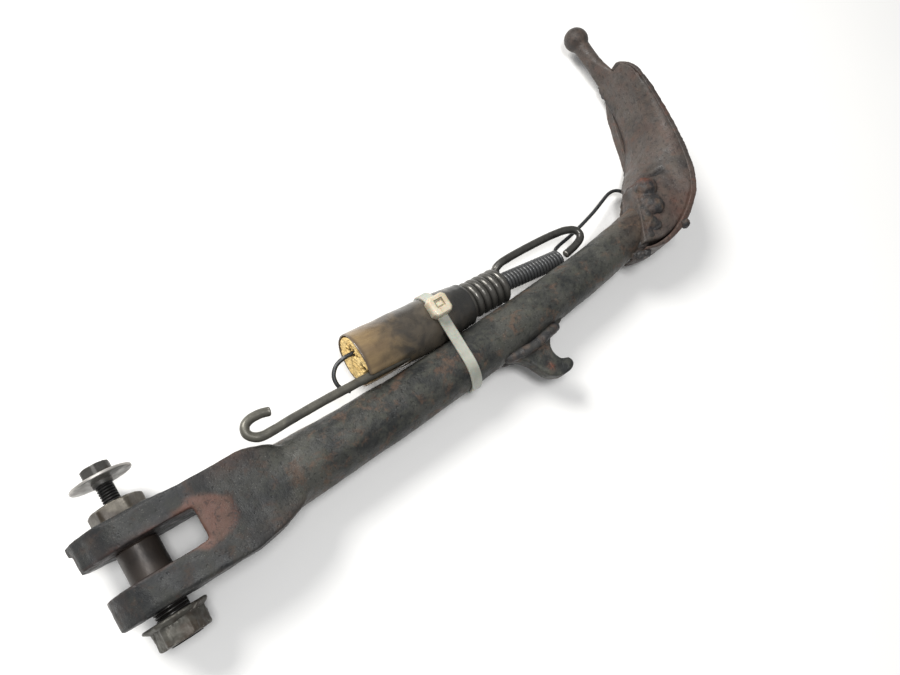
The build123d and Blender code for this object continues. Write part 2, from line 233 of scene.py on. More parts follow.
def sleeve_material():
    """Shrunk plastic tube: tan where the foam shows through, brown-black and glossy beyond."""
    g = Graph("sleeve_plastic")
    along = g.attribute("along")
    cloud = g.noise(120, 6, 0.6, 0.5)
    streak = g.noise(60, 5, 0.6, 0.3, (0.35, 1.6, 1.6))
    place_at = g.plus(along, g.times(g.math("SUBTRACT", cloud, 0.5), 0.55))
    tan = g.mix(g.step(streak, 0.35, 0.65), (0.25, 0.175, 0.088), (0.145, 0.10, 0.056))
    brown = g.mix(g.step(cloud, 0.4, 0.62), (0.078, 0.065, 0.049), (0.045, 0.039, 0.032))
    colour = g.mix(g.step(place_at, 0.08, 0.46), tan, brown)
    colour = g.mix(g.step(place_at, 0.6, 1.0), colour, (0.020, 0.020, 0.019))
    colour = g.mix(g.times(g.attribute("rim"), 0.75), colour, (0.07, 0.052, 0.04))
    specks = g.step(g.noise(900, 5, 0.7), 0.58, 0.72)
    colour = g.mix(g.times(specks, 0.3), colour, (0.03, 0.026, 0.022))
    level = g.step(g.noise(260, 6, 0.6), 0.3, 0.7, 0.24, 0.42)
    folds = g.noise(180, 6, 0.6, 0.0, (0.4, 1.3, 1.3))
    g.bump(g.plus(folds, g.times(g.noise(1300, 3), 0.2)), 0.35, 0.0004)
    return g.finish(colour, level, 0.0, Coat_Weight=0.25, Coat_Roughness=0.18)


def foam_material():
    """Yellow open-cell foam, with its pits painted nearly black as painted shade."""
    g = Graph("foam")
    cells = g.cells(1500)
    cloud = g.noise(260, 7, 0.65, 0.3)
    colour = g.mix(g.step(cloud, 0.35, 0.65), (0.80, 0.60, 0.27), (0.68, 0.47, 0.18))
    colour = g.mix(g.times(g.step(cells, 0.3, 0.1), 0.35), colour, (0.45, 0.28, 0.1))
    # Painted shade: the torn pits are painted nearly black.
    colour = g.mix(g.attribute("pit"), colour, (0.018, 0.013, 0.008))
    g.bump(g.plus(cells, cloud), 0.6, 0.0003)
    return g.finish(colour, g.step(cloud, 0.3, 0.7, 0.75, 0.95), 0.0, Specular_IOR_Level=0.2)


def nylon_material():
    """Old nylon: a cream head with brown stains, a greyer strap."""
    g = Graph("tie_nylon")
    cloud = g.noise(160, 6, 0.6, 0.4)
    cream = g.mix(g.step(cloud, 0.35, 0.65), (0.58, 0.53, 0.42), (0.48, 0.42, 0.30))
    strap = g.mix(g.step(cloud, 0.35, 0.65), (0.40, 0.405, 0.35), (0.30, 0.305, 0.26))
    colour = g.mix(g.attribute("strap"), cream, strap)
    stain = g.times(g.step(g.noise(420, 6, 0.7), 0.56, 0.68), g.attribute("stain"))
    colour = g.mix(stain, colour, (0.33, 0.20, 0.09))
    g.bump(g.plus(g.noise(700, 5), g.times(cloud, 0.5)), 0.2, 0.0003)
    return g.finish(colour, g.step(cloud, 0.3, 0.7, 0.28, 0.45), 0.0,
                    Subsurface_Weight=0.25, Subsurface_Scale=0.002, Coat_Weight=0.15)


def floor_material():
    g = Graph("floor")
    cloud = g.noise(3.0, 3, 0.5)
    colour = g.mix(g.step(cloud, 0.3, 0.7), (0.90, 0.895, 0.885), (0.93, 0.928, 0.92))
    g.bump(g.noise(40, 3), 0.02, 0.0005)
    return g.finish(colour, g.step(cloud, 0.3, 0.7, 0.6, 0.7), 0.0, Specular_IOR_Level=0.15)


# ---- mesh shapes
def rings(loops, cap=True, closed=False):
    """A shape from equal rings of points; the ends are closed by fans."""
    loops = np.asarray(loops, dtype=float)
    rows, cols = loops.shape[:2]
    points = loops.reshape(-1, 3)
    faces = []
    for i in range(rows if closed else rows - 1):
        k = (i + 1) % rows
        for j in range(cols):
            m = (j + 1) % cols
            faces.append((i * cols + j, i * cols + m, k * cols + m, k * cols + j))
    if cap and not closed:
        points = np.vstack([points, loops[0].mean(0), loops[-1].mean(0)])
        first, last = rows * cols, rows * cols + 1
        for j in range(cols):
            m = (j + 1) % cols
            faces.append((first, m, j))
            faces.append((last, (rows - 1) * cols + j, (rows - 1) * cols + m))
    return points, faces


def unit(v):
    return v / np.linalg.norm(v)


def round_angles(count):
    return np.linspace(0, math.tau, count, endpoint=False)


def outward(loop):
    """Unit normals of a closed counter-clockwise loop in a plane."""
    ahead = np.roll(loop, -1, 0) - np.roll(loop, 1, 0)
    normal = np.stack([ahead[:, 1], -ahead[:, 0]], 1)
    return normal / np.linalg.norm(normal, axis=1)[:, None]


def smooth_line(points, per=10):
    """A smooth line through a few points."""
    p = np.asarray(points, dtype=float)
    p = np.vstack([2 * p[0] - p[1], p, 2 * p[-1] - p[-2]])
    out = []
    for i in range(1, len(p) - 2):
        for t in np.linspace(0, 1, per, endpoint=False):
            out.append(0.5 * (2 * p[i] + (p[i + 1] - p[i - 1]) * t
                              + (2 * p[i - 1] - 5 * p[i] + 4 * p[i + 1] - p[i + 2]) * t * t
                              + (3 * p[i] - p[i - 1] - 3 * p[i + 1] + p[i + 2]) * t ** 3))
    out.append(p[-2])
    return np.array(out)


def resample(line, count):
    """The same line with its points at equal steps."""
    steps = np.r_[0, np.cumsum(np.linalg.norm(np.diff(line, axis=0), axis=1))]
    at = np.linspace(0, steps[-1], count)
    return np.column_stack([np.interp(at, steps, line[:, k]) for k in range(line.shape[1])])


def tube(line, radius, sides):
    """Round wire along a line, its cut ends slightly broken."""
    line = np.asarray(line, dtype=float)
    break_at = 0.25 * radius
    head = line[0] + unit(line[1] - line[0]) * break_at
    tail = line[-1] + unit(line[-2] - line[-1]) * break_at
    line = np.vstack([line[:1], head, line[1:-1], tail, line[-1:]])
    radii = np.full(len(line), radius)
    radii[0] = radii[-1] = 0.8 * radius
    tangents = np.gradient(line, axis=0)
    side = unit(np.cross(tangents[0], (0.3, 0.5, 0.8)))
    angles = round_angles(sides)
    loops = []
    for at, tangent, r in zip(line, tangents, radii):
        tangent = unit(tangent)
        side = unit(side - tangent * np.dot(side, tangent))
        other = np.cross(tangent, side)
        loops.append([at + r * (math.cos(a) * side + math.sin(a) * other) for a in angles])
    return rings(loops)


def lathe_y(profile, segments=96, radius_of=None, closed=False):
    """Turns (radius, y) points about the Y axis; radius_of(r, y, angle) may reshape it."""
    loops = []
    for r, y in profile:
        loop = []
        for k in range(segments):
            a = math.tau * k / segments
            rr = radius_of(r, y, a) if radius_of else r
            loop.append((rr * math.cos(a), y, rr * math.sin(a)))
        loops.append(loop)
    return rings(loops, cap=not closed, closed=closed)


def hexagon(flats, turn, corner_round=0.35):
    """Radius of a hexagon with softened corners at an angle."""
    limit = flats / math.sqrt(3) - corner_round

    def radius(a):
        local = (math.degrees(a) - turn + 30) % 60 - 30
        wide = flats / 2 / math.cos(math.radians(30 - abs(local)))
        return min(wide, limit + 0.12 * abs(local) / 30 * corner_round)
    return radius


def screw_thread(diameter, pitch, y0, y1, depth, segments=40, per_turn=8):
    """A real helical thread about Y."""
    count = int((y1 - y0) / pitch * per_turn)
    loops = []
    for j in range(-per_turn, count + per_turn + 1):
        loop = []
        for k in range(segments):
            a = math.tau * k / segments
            y = y0 + (j / per_turn + k / segments) * pitch
            phase = j / per_turn % 1.0
            cut = depth * max(0.0, 1 - abs(phase - 0.5) / 0.36)
            y = min(max(y, y0), y1)
            near_end = min(y - y0, y1 - y, pitch) / pitch
            r = diameter / 2 - cut - 0.35 * (1 - near_end)
            loop.append((r * math.cos(-a), y, r * math.sin(-a)))
        loops.append(loop)
    return rings(loops)


def ball(at, radius, squash=(1, 1, 1), detail=3):
    bm = bmesh.new()
    bmesh.ops.create_icosphere(bm, subdivisions=detail, radius=1.0)
    points = np.array([v.co[:] for v in bm.verts]) * radius * np.array(squash) + np.array(at)
    faces = [tuple(v.index for v in f.verts) for f in bm.faces]
    bm.free()
    return points, faces


def random_push():
    return np.array([rng.uniform(-1, 1) for _ in range(3)])


def join(shapes):
    points, faces, base = [], [], 0
    for p, f in shapes:
        points.append(np.asarray(p, dtype=float))
        faces += [tuple(i + base for i in face) for face in f]
        base += len(p)
    return np.vstack(points), faces


def read_points(piece, what="co"):
    """The points of an object in millimetres, or their normals."""
    vertices = piece.data.vertices
    values = np.empty(len(vertices) * 3)
    vertices.foreach_get(what, values)
    return values.reshape(-1, 3) / (MM if what == "co" else 1.0)


def shape_of(piece):
    return read_points(piece), [tuple(p.vertices) for p in piece.data.polygons]


def cad_shape(node):
    return shape_of(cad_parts[node])


def new_object(name, shape):
    points, faces = shape
    mesh = bpy.data.meshes.new(name)
    mesh.from_pydata([tuple(p) for p in np.asarray(points) * MM], [], faces)
    bm = bmesh.new()
    bm.from_mesh(mesh)
    bmesh.ops.remove_doubles(bm, verts=bm.verts, dist=2e-6)
    bmesh.ops.dissolve_degenerate(bm, dist=1e-6, edges=bm.edges)
    bmesh.ops.recalc_face_normals(bm, faces=bm.faces)
    bm.to_mesh(mesh)
    bm.free()
    return add(name, mesh)


def modify(piece, kind, **settings):
    modifier = piece.modifiers.new(kind.lower(), kind)
    for name, value in settings.items():
        setattr(modifier, name, value)


def bake_modifiers(piece):
    graph = bpy.context.evaluated_depsgraph_get()
    mesh = bpy.data.meshes.new_from_object(piece.evaluated_get(graph))
    piece.modifiers.clear()
    piece.data = mesh


def melt(piece, voxel, rounds):
    """Joins the closed shapes of a piece into one skin and softens it."""
    modify(piece, "REMESH", mode="VOXEL", voxel_size=voxel * MM)
    modify(piece, "SMOOTH", factor=0.5, iterations=rounds)
    bake_modifiers(piece)


def write_points(piece, points):
    piece.data.vertices.foreach_set("co", (np.asarray(points) * MM).ravel())
    piece.data.update()


def roughen(piece, *octaves, where=None):
    """Moves each point along its normal by noise: (height, size) pairs, in millimetres."""
    points = read_points(piece)
    normals = read_points(piece, "normal")
    shift = np.zeros(len(points))
    for number, (height, size) in enumerate(octaves):
        offset = Vector((13.7 * number, 5.1, 2.9 * number))
        shift += height * np.array([noise.noise(Vector(p) / size + offset) for p in points])
    if where is not None:
        shift *= where(points)
    write_points(piece, points + normals * shift[:, None])


def ease(x, low, high):
    """A smooth step from 0 at low to 1 at high."""
    t = np.clip((np.asarray(x, dtype=float) - low) / (high - low), 0, 1)
    return t * t * (3 - 2 * t)


def from_axis(points):
    """Distance of points from the pivot axis."""
    return np.hypot(points[:, 0], points[:, 2])


def spot(x, y, at, size):
    """A soft mark: 1 at its middle, falling off over its two half widths."""
    return np.exp(-(((x - at[0]) / size[0]) ** 2 + ((y - at[1]) / size[1]) ** 2))


def paint_masks(piece, **masks):
    """Point attributes between 0 and 1, read by the materials."""
    for name, values in masks.items():
        values = np.zeros(len(piece.data.vertices)) + values
        layer = piece.data.attributes.new(name, "FLOAT", "POINT")
        layer.data.foreach_set("value", np.clip(values, 0, 1).astype(np.float32))


def wobble(points, size, seed):
    return np.array([noise.noise(Vector(p) / size + Vector((seed, seed, seed))) for p in points])


def place(piece, material, slot, body, *nodes, crease=None):
    piece.data.materials.clear()
    piece.data.materials.append(material)
    for polygon in piece.data.polygons:
        polygon.use_smooth = True
    if crease:
        piece.data.set_sharp_from_angle(angle=math.radians(crease))
    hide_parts(*nodes)
    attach(piece, body)


# ---- leg and fork
# x, middle y, half width, half height
LEG_STATIONS = [
    (40, 0, 12.8, 13), (60, 0.2, 12.3, 12.4), (82, 0.8, 11.5, 11.6), (105, 1.5, 11, 11.1),
    (130, 3, 10.6, 10.7), (160, 5.6, 10.1, 10.1), (190, 8.7, 9.5, 9.5), (216, 12.1, 9.1, 9.1),
    (240, 16.9, 8.6, 8.6), (257, 21.6, 8.3, 8.3)
]
SHAFT_START = 46
BORE_EDGE = 7.5  # inside this radius the leg stays true for the bolt
PRIMER_AT = (21.0, 0.3)
PRIMER_SIZE = (12.2, 9.6)
SLOT_HALF = 6.0


def leg_shaft():
    line = smooth_line(LEG_STATIONS, 8)
    line = line[line[:, 0] > SHAFT_START]
    angles = round_angles(72)
    return rings([[(x, y + w * math.cos(a), h * math.sin(a)) for a in angles]
                  for x, y, w, h in line])


def build_leg(material):
    leg = new_object("leg", join([cad_shape("leg_forging"), leg_shaft()]))
    melt(leg, 0.62, 5)
    points = read_points(leg)
    group = leg.vertex_groups.new(name="blend")
    weight = ease(points[:, 0], 40, 50) * (1 - ease(points[:, 0], 70, 84))
    for index in np.nonzero(weight > 0.01)[0]:
        group.add([int(index)], float(weight[index]), "REPLACE")
    modify(leg, "SMOOTH", vertex_group="blend", factor=0.5, iterations=26)
    bake_modifiers(leg)
    leg.vertex_groups.clear()
    roughen(leg, (0.30, 17.0), (0.14, 5.5), (0.07, 2.0),
            where=lambda p: np.where(from_axis(p) < BORE_EDGE, 0.0, 1.0))
    points = read_points(leg)
    x, y, z = points.T
    reach = np.hypot((x - PRIMER_AT[0]) / PRIMER_SIZE[0], (y - PRIMER_AT[1]) / PRIMER_SIZE[1])
    reach = reach + 0.06 * (2.6 * wobble(points, 5.0, 3.0))
    top = ease(z, 4, 11)
    patch = (1 - ease(reach, 0.80, 1.04)) * top * ease(x, 12, 18)
    halo = 0.75 * np.exp(-((reach - 0.97) / 0.07) ** 2) * top * ease(x, 26, 31) * ease(6 - y, 0, 6)
    cheeks = (np.abs(np.abs(y) - SLOT_HALF) < 0.8) * (z > 0) * (x < 20)
    slot_rim = np.exp(-((np.abs(y) - 6.6) / 1.3) ** 2) * ease(z, 8, 14) * (x < 22) * (y > 0)
    shoulder = spot(x, y, (38, 14), (9, 4)) * ease(z, -2, 6)
    foot_end = ease(x + 4 * wobble(points, 9.0, 5.0), 214, 246)
    low_edge = spot(x, y, (48, -14), (14, 4))
    nose = (x < -6) * ease(wobble(points, 7.0, 2.0), -0.1, 0.4)
    fork = (1 - ease(x, 38, 62)) * (0.68 + 0.3 * ease(wobble(points, 8.0, 12.0), -0.2, 0.35))
    underside = 0.5 * ease(-z, 5, 13) + 0.5 * ease(y, 13, 16) * (x < 20)
    paint_masks(
        leg,
        red=patch + 0.6 * cheeks * ease(wobble(points, 4.0, 9.0), -0.3, 0.2) + 0.5 * slot_rim,
        orange=0.85 * halo + 0.3 * shoulder,
        brown=0.85 * foot_end + 0.55 * low_edge + 0.7 * shoulder + 0.45 * nose,
        soot=underside + fork * (1 - 0.85 * patch))
    place(leg, material, "black_paint", "leg", "leg_forging")


# ---- horn on the leg
HORN_OUTLINE = [
    (150, -5.4), (154, -7.4), (157.8, -10.6), (160, -15), (162.8, -19.4), (166.4, -21.5),
    (170.2, -22.0), (173.5, -21.3), (175.2, -19.3), (174.6, -17.0), (171.8, -15.8), (170.3, -13.4),
    (170.1, -10.2), (171.8, -7.0), (175.4, -4.6), (181, -2.2), (184, 1.5), (168, 4), (152, 0)
]
HORN_BEVEL = [(3.5, 1.1), (3.35, 0.5), (2.9, 0.12), (2.2, 0)]  # height, inset
HORN_ROOT = [
    (150.6, -4.4, 3.0), (157, -5.6, 4.1), (164, -5.6, 4.4), (171, -4.4, 4.2), (176.6, -3.4, 3.2)
]


def build_horn(paint, weld_paint):
    outline = smooth_line(HORN_OUTLINE + HORN_OUTLINE[:1], 6)[:-1]
    normals = outward(outline)
    count = len(outline)
    levels = [(-z, inset) for z, inset in HORN_BEVEL] + HORN_BEVEL[::-1]
    loops = [np.column_stack([outline - normals * inset, np.full(count, z)]) for z, inset in levels]
    points, faces = rings(loops, cap=False)
    faces.append(tuple(range(count)))
    faces.append(tuple(range(len(loops) * count - count, len(loops) * count)))
    horn = new_object("spring_horn", (points, faces))
    melt(horn, 0.4, 5)
    roughen(horn, (0.22, 6.0), (0.08, 1.8))
    points = read_points(horn)
    x, y, z = points.T
    paint_masks(
        horn,
        brown=0.45 * ease(wobble(points, 5.0, 4.0), 0, 0.4),
        red=0.0,
        orange=0.8 * spot(x, y, (165.2, -16.5), (1.3, 1.6)) * (z > 0),
        soot=0.2 * ease(-z, 0, 3))
    place(horn, paint, "black_paint", "leg", "spring_horn")

    shapes = []
    for side in (-1, 1):
        for at in smooth_line([(x, y, side * z) for x, y, z in HORN_ROOT], 9):
            shapes.append(ball(at + 0.15 * random_push(), rng.uniform(2.15, 2.4), detail=2))
    weld = new_object("horn_weld", join(shapes))
    melt(weld, 0.4, 12)
    roughen(weld, (0.2, 3.0), (0.08, 1.0))
    dress_weld(weld, 0.05)
    place(weld, weld_paint, "weld_steel", "leg", "horn_weld")


def dress_weld(weld, brown, orange=0.0):
    cloud = ease(wobble(read_points(weld), 3.0, 8.0), -0.1, 0.35)
    paint_masks(weld, brown=brown + 0.5 * cloud, orange=orange, red=0.0, soot=0.5 * (1 - cloud))


# ---- foot
OUTER_CURVE = [
    (231.5, 5.2), (245, 3.0), (260, 8.2), (272.2, 21), (278.6, 38), (281.4, 56), (282.6, 74),
    (280, 89)
]
INNER_CURVE = [(246.5, 33.5), (256, 39.5), (264.5, 47.5), (271, 58), (275, 72), (276.6, 89)]
SOLE_THICKNESS = 3.0
CORE_LOW = -11.0
FOOT_TOP = 14.9
THROAT_Y = 2.0  # the top and underside open out from here
DOME_Y = 79.0  # the top rounds down to the tang from here
DOME_REACH = 12.3
LIFT_Y = 74.0  # the underside leaves the floor from here
TANG = [
    (278.3, 78.0, -3.0), (278.3, 87.5, -3.4), (278.4, 95.0, -4.4), (278.8, 104.0, -5.3),
    (279.0, 114.0, -5.8)
]
TANG_HALF = [(1.0, 7.6), (1.9, 7.2), (3.3, 5.2), (3.9, 4.2), (4.3, 4.3)]
BALL_RADIUS = 6.05
PIT_AT = (260.0, 33.2)  # the small gouge beside the foot weld
WELD_PATH = [
    (248.4, 31.6, 1.5), (248.2, 29.4, 5.6), (245.6, 24.5, 8.0), (242.2, 17.5, 9.0),
    (238.4, 10.8, 7.6), (234.0, 7.2, 4.0)
]
# at, radius, flattening
WELD_LOBES = [
    ((251.2, 29.0, 8.0), 5.3, 0.95), ((248.4, 20.5, 8.9), 5.4, 0.8), ((243.8, 12.8, 7.6), 4.2, 0.8)
]
TACKS = [
    ((279.4, 84.2, -11.3), 2.2), ((263.6, 42.4, -11.3), 2.6), ((256.2, 6.4, 10.4), 2.3),
    ((230.9, 4.6, 4.2), 2.6), ((233.2, 3.9, 6.6), 2.0), ((228.9, 6.4, 3.2), 1.7),
    ((262.2, 40.6, -9.6), 1.8)
]


def foot_limits(y):
    """Lowest and highest Z of the foot at a place along Y."""
    high = min(FOOT_TOP, 9 + (y - THROAT_Y) * 6 / 14)
    if y > DOME_Y:
        high = 15 * math.sqrt(max(0.0, 1 - ((y - DOME_Y) / DOME_REACH) ** 2)) - 0.1
    low = max(FLOOR_Z, -9 - (y - THROAT_Y) * 0.7)
    if y > LIFT_Y:
        low = FLOOR_Z + (y - LIFT_Y) * 4.5 / 17
    return low, high


def foot_section(inner, outer, low_inner, low_outer, high_inner, high_outer, power):
    """One closed section: up the inner face, a wide rounding, then the outer edge."""
    loop = []
    steps = 20
    for k in range(steps + 1):
        a = math.pi / 2 * k / steps
        across = 1 - math.cos(a) ** (2 / power)
        rise = math.sin(a) ** (2 / power)
        high = high_inner + (high_outer - high_inner) * across
        loop.append((across * 0.96, low_inner + (high - low_inner) * rise))
    loop += [(0.985, high_outer - 0.35), (1.0, high_outer - 1.2),
             (1.0, 0.5 * (high_outer + low_outer)), (1.0, low_outer + 0.8), (0.97, low_outer),
             (0.5, 0.5 * (low_outer + low_inner)), (0.03, low_inner)]
    return [(*(inner + (outer - inner) * across), z) for across, z in loop]


def foot_core():
    """The plate inside the sole, thin and low at its throat."""
    stations = 46
    outer = resample(smooth_line(OUTER_CURVE, 24), stations)
    inner = resample(smooth_line(INNER_CURVE, 24), stations)
    loops = []
    for k in range(stations - 1):
        t = k / (stations - 1)
        across = outer[k] - inner[k]
        width = np.linalg.norm(across)
        edge = outer[k] - across / width * min(SOLE_THICKNESS * 0.98, 0.55 * width)
        start = inner[k] + across / width * 0.15
        low, high = foot_limits(outer[k][1])
        low_in, high_in = foot_limits(inner[k][1])
        dip = 3.6 * math.exp(-(t / 0.10) ** 2)
        lift = 8.0 * math.exp(-(t / 0.09) ** 2)
        power = 2.3 + 0.9 * math.exp(-(t / 0.2) ** 2)
        loops.append(foot_section(start, edge, max(CORE_LOW, low_in) + lift, max(CORE_LOW, low + 1.0),
                                  high_in - 0.4 - dip, high - 0.35, power))
    return rings(loops)


def foot_tang():
    angles = round_angles(28)
    sections = zip(smooth_line(TANG, 7), smooth_line(TANG_HALF, 7))
    return rings([[(at[0] + w[0] * math.cos(a), at[1], at[2] + w[1] * math.sin(a)) for a in angles]
                  for at, w in sections])


def build_foot(paint, weld_paint):
    knob = ball(TANG[-1], BALL_RADIUS, (1, 0.99, 1), 4)
    foot = new_object("foot_plate", join([foot_core(), foot_tang(), knob]))
    melt(foot, 0.5, 7)
    points = read_points(foot)
    x, y, z = points.T
    along = 0.99 * (x - PIT_AT[0]) - 0.13 * (y - PIT_AT[1])
    across = 0.13 * (x - PIT_AT[0]) + 0.99 * (y - PIT_AT[1])
    # The gouge is dented, and further down it is painted near black as painted shade in the gouge.
    pit = spot(along, across, (0, 0), (2.9, 1.1)) * (z > 3)
    hollow = np.exp(-(((y - 60) / 16) ** 2)) * ease(z, -6, 4) * (1 - ease(z, 8, 13))
    dent = 1.9 * pit + 0.5 * hollow
    write_points(foot, points - read_points(foot, "normal") * dent[:, None])
    roughen(foot, (0.30, 9.0), (0.12, 3.0), (0.05, 1.2),
            where=lambda p: 1 - 0.75 * ease(p[:, 1], 100, 106))
    points = read_points(foot)
    x, y, z = points.T
    primer = 0.18 * ease(wobble(points, 6.0, 6.0), 0.0, 0.45) * (y < 96)
    grime = ease(y, 20, 30) * (1 - ease(y, 30, 40)) * ease(-wobble(points, 6.0, 11.0), -0.1, 0.3)
    # The plate's lower edge, where it meets the sole, is darkened: a painted shadow line.
    lower_edge_shadow = ease(-z, 8.5, 11.0)
    paint_masks(
        foot,
        brown=0.25 + 0.35 * ease(wobble(points, 10.0, 1.0), -0.35, 0.3),
        red=primer + 0.6 * spot(x, y, (262, 12), (9, 8)),
        orange=0.12 * ease(wobble(points, 3.5, 7.0), 0.25, 0.5) * (y < 90),
        soot=np.maximum(1.3 * pit, np.maximum(0.55 * grime, 0.7 * lower_edge_shadow)))
    place(foot, paint, "foot_paint", "leg", "foot_plate")

    sole = new_object("sole_plate", cad_shape("sole_plate"))
    melt(sole, 0.5, 9)
    roughen(sole, (0.25, 8.0), (0.1, 2.5), (0.05, 1.2))
    points = read_points(sole)
    x, y, z = points.T
    paint_masks(
        sole,
        brown=0.35 + 0.5 * ease(wobble(points, 8.0, 2.5), -0.2, 0.4),
        red=0.55 * np.exp(-((y - 12) / 10) ** 2) * ease(z, 2, 12),
        orange=0.3 * ease(wobble(points, 3.0, 3.3), 0.2, 0.5),
        # darker along the top edge past y 45: painted shade on the rounded rim
        soot=0.35 * ease(y, 45, 60) * ease(z, 8, 14))
    place(sole, paint, "foot_paint", "leg", "sole_plate")
    build_foot_weld(weld_paint)


def build_foot_weld(weld_paint):
    shapes = []
    for side in (1, -1):
        for at in smooth_line([(x, y, side * z) for x, y, z in WELD_PATH], 9):
            shapes.append(ball(at + 0.35 * random_push(), rng.uniform(2.3, 2.9), detail=2))
    shapes += [ball(at, radius, (1, 1, flat)) for at, radius, flat in WELD_LOBES]
    weld = new_object("foot_weld", join(shapes))
    melt(weld, 0.45, 18)
    roughen(weld, (0.7, 3.4), (0.3, 1.4), (0.08, 0.6))
    x, y, z = read_points(weld).T
    dress_weld(weld, 0.2, 1.2 * spot(x, y, (250.5, 33.0), (2.4, 2.2)))
    place(weld, weld_paint, "weld_steel", "leg", "foot_weld")

    tacks = new_object("sole_tack_welds", join([ball(at, radius) for at, radius in TACKS]))
    melt(tacks, 0.3, 2)
    roughen(tacks, (0.5, 1.8), (0.15, 0.8))
    dress_weld(tacks, 0.1)
    place(tacks, weld_paint, "weld_steel", "leg", "sole_tack_welds")


# ---- pivot hardware
EAR_HEAD_Y = 16.3
HEAD_TOP_Y = 21.6
BOLT_END_Y = -29.6
NECK_RADIUS = 5.9  # the tube of the shank just under the head
NECK_DEPTH = 4
NUT_SEAT_Y = -20.22
NUT_END_Y = -29.18
FLANGE_RADIUS = 11.45


def hex_head(flats, turn, y0, y1, dish, hole=0.0):
    """A hexagon whose top corners run off in the curved line of a turned chamfer."""
    side = hexagon(flats, turn)
    crown = flats / 2 * 0.97

    def shape(r, y, a):
        if r < crown:
            return r
        slope = (y1 - y) * 1.9 + crown
        foot = (y - y0) * 3.0 + flats / 2 * 0.99
        return min(side(a), slope, foot)
    heights = [y0, y0 + 0.15, y0 + 0.4, y0 + 0.8, y0 + 0.5 * (y1 - y0), y1 - 1.2, y1 - 0.9,
               y1 - 0.6, y1 - 0.35, y1 - 0.15, y1]
    profile = [(flats, y) for y in heights]
    profile += [(crown * 0.93, y1), (crown * 0.7, y1 - dish)]
    if hole:
        neck = y0 - NECK_DEPTH
        start = [(NECK_RADIUS, neck), (NECK_RADIUS, y0)]
        profile += [(hole + 0.4, y1 - dish), (hole, y1 - dish - 0.4), (hole, neck)]
    else:
        start = [(crown * 0.5, y0), (crown * 0.9, y0)]
    return lathe_y(start + profile, 120, shape, closed=bool(hole))


def build_bolt(zinc):
    head = hex_head(17.0, 0.0, EAR_HEAD_Y + 0.02, HEAD_TOP_Y, 0.12, hole=3.68)
    # the bore for the switch screw is open down to y = 4.7
    shank = lathe_y([(0.3, 4.6), (3.6, 4.7), (3.6, 12.3), (NECK_RADIUS, 12.3), (5.97, 11.9),
                     (5.97, -14.0), (5.6, -14.7), (0.5, -14.7)], 64)
    thread = screw_thread(11.98, 1.25, BOLT_END_Y, -14.2, 0.72)
    bolt = new_object("pivot_bolt", join([head, shank, thread]))
    roughen(bolt, (0.10, 3.0), (0.05, 1.2), where=lambda p: ease(p[:, 1], 16.6, 17.4))
    paint_masks(bolt, soot=ease(-read_points(bolt)[:, 1], 10, 16))
    place(bolt, zinc, "zinc_steel", "bolt", "pivot_bolt", crease=32)


def build_bush(material):
    r0, r1, half = 6.08, 7.28, 5.9
    profile = [(r0, -half + 0.3), (r0 + 0.3, -half), (r1 - 0.5, -half), (r1, -half + 0.5)]
    profile += [(r1, y) for y in np.linspace(-half + 1, half - 1, 12)]
    profile += [(r1, half - 0.5), (r1 - 0.5, half), (r0 + 0.3, half), (r0, half - 0.3)]
    bush = new_object("pivot_bush", lathe_y(profile, 96, closed=True))
    roughen(bush, (0.05, 2.6), (0.02, 1.0), where=lambda p: from_axis(p) > 7.0)
    place(bush, material, "bush_steel", "bush", "pivot_bush", crease=40)


def build_nut(material, ring_material):
    """A flange nut, its flange and flats worn uneven, and the ring pressed into its end."""
    seat, end = NUT_SEAT_Y, NUT_END_Y
    side = hexagon(16.9, 0.0, 0.5)

    def shape(r, y, a):
        if r < 8.2:
            return r
        if y > seat - 2.3:
            return r + 0.16 * math.sin(7 * a + 1.0) + 0.12 * math.sin(13 * a)
        cone = (y - end) * 1.9 + 8.25
        return min(side(a), cone)
    heights = [seat - 2.35, seat - 2.7, seat - 3.4, end + 3.5, end + 1.3, end + 0.8, end + 0.45,
               end + 0.2, end]
    profile = [(6.06, seat), (7.4, seat), (10.6, seat - 0.02), (11.15, seat - 0.4),
               (11.2, seat - 0.9), (10.6, seat - 1.5), (9.4, seat - 2.2)]
    profile += [(20, y) for y in heights]
    profile += [(8.0, end), (7.35, end + 0.02), (7.12, end + 0.25), (7.12, end + 1.66),
                (6.06, end + 1.7)]
    nut = new_object("flange_nut", lathe_y(profile, 120, shape, closed=True))
    modify(nut, "SUBSURF", subdivision_type="SIMPLE", levels=2)
    bake_modifiers(nut)
    roughen(nut, (0.42, 4.0), (0.26, 1.7), (0.1, 0.8),
            where=lambda p: ease(from_axis(p), 7.3, 8.4) * ease(seat - p[:, 1], 0.0, 0.5))
    points = read_points(nut)
    cap = FLANGE_RADIUS / np.maximum(from_axis(points), FLANGE_RADIUS)
    points[:, 0] *= cap
    points[:, 2] *= cap
    points[:, 1] = np.clip(points[:, 1], end, seat)
    write_points(nut, points)
    place(nut, material, "nut_steel", "nut", "flange_nut", crease=50)

    ring_profile = [(6.08, end + 0.2), (6.3, end + 0.15), (6.9, end + 0.15), (7.04, end + 0.3),
                    (7.04, end + 1.45), (6.9, end + 1.58), (6.3, end + 1.58), (6.08, end + 1.4)]
    ring = new_object("nut_lock_ring", lathe_y(ring_profile, 72, closed=True))
    place(ring, ring_material, "lock_ring", "lock_ring", "nut_lock_ring", crease=40)


WASHER_Y = 30.6


